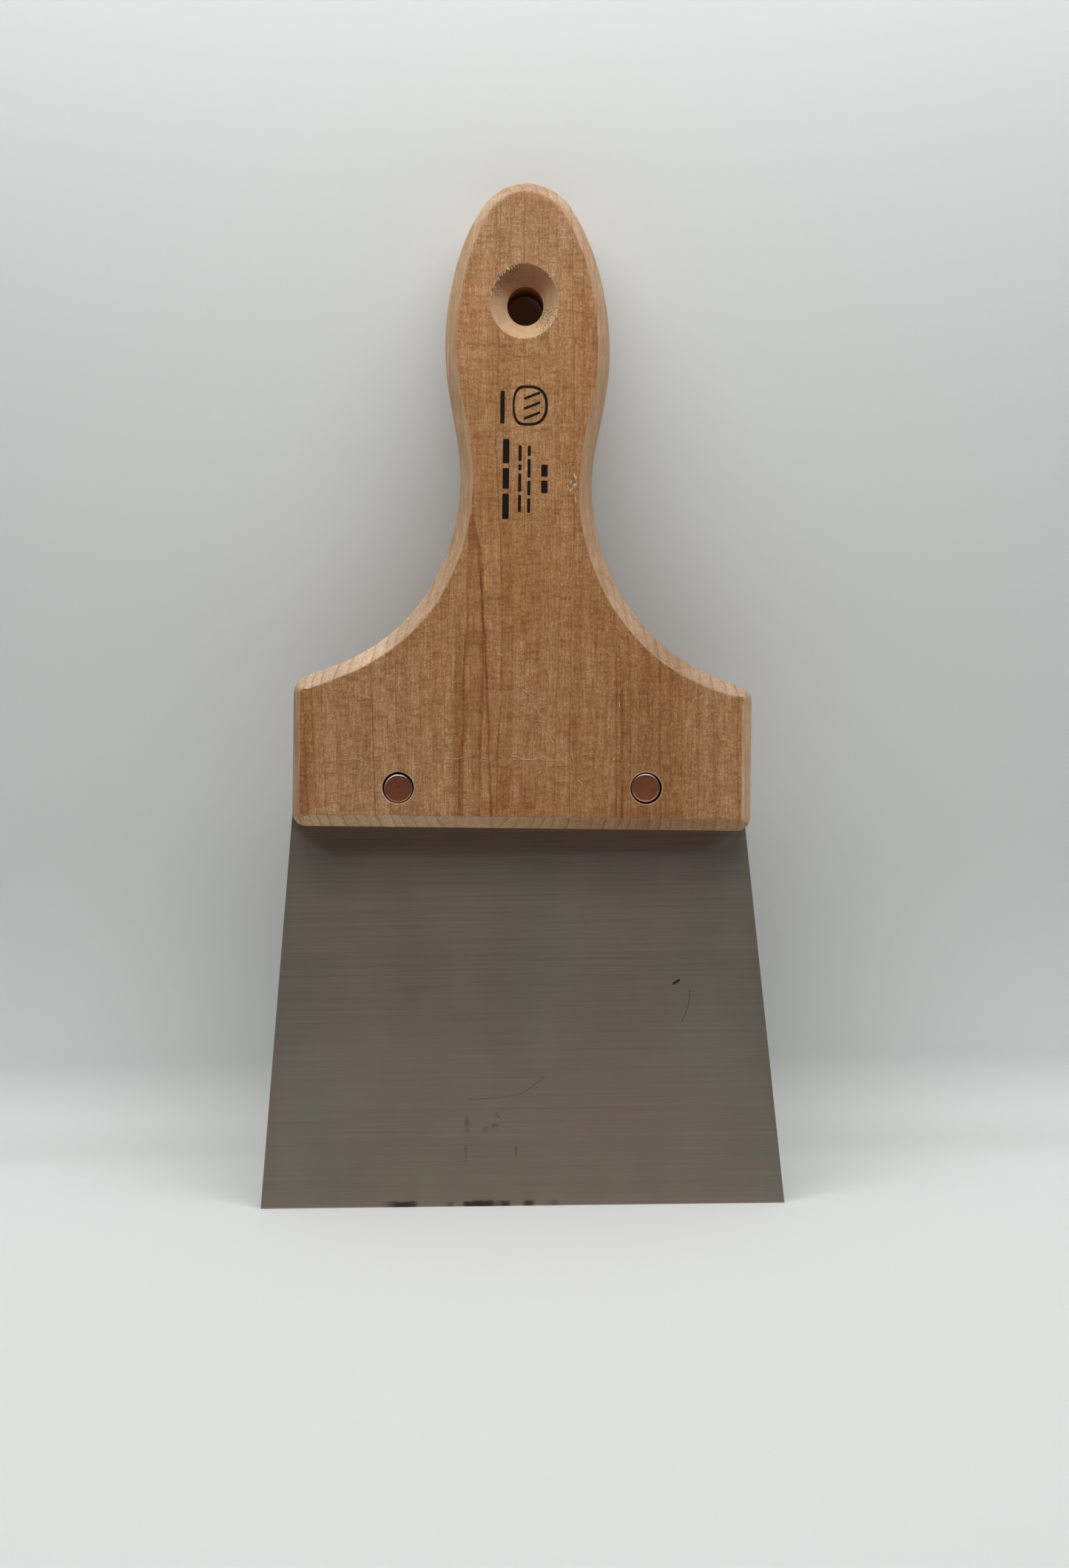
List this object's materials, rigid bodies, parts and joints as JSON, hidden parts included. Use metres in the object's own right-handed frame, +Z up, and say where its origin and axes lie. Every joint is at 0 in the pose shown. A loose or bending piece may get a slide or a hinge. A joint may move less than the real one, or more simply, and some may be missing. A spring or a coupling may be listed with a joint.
{
  "type": "bench scraper",
  "caption": "Hand scraper: thin trapezoid steel blade held in a saw kerf by recessed rivets, under a shouldered, waisted wooden handle with a countersunk hanging hole.",
  "frame": {"origin": "middle of the blade's working edge, in the plane of the blade", "axes": "+Z up from the working edge towards the handle's end, X across the width, front face towards -Y"},
  "size_m": [0.14, 0.0176, 0.2722],
  "materials": {
    "handle_wood": "planed beech, almost bare, satin",
    "blade_steel": "finely brushed across the width",
    "rivet_copper": "copper coloured, smooth, bright bevelled rim"
  },
  "bodies": {
    "root": {"wooden_handle": "handle_wood", "blade": "blade_steel", "rivet_left_tube": "rivet_copper", "rivet_left_pin": "rivet_copper", "rivet_right_tube": "rivet_copper", "rivet_right_pin": "rivet_copper"}
  },
  "joints": []
}
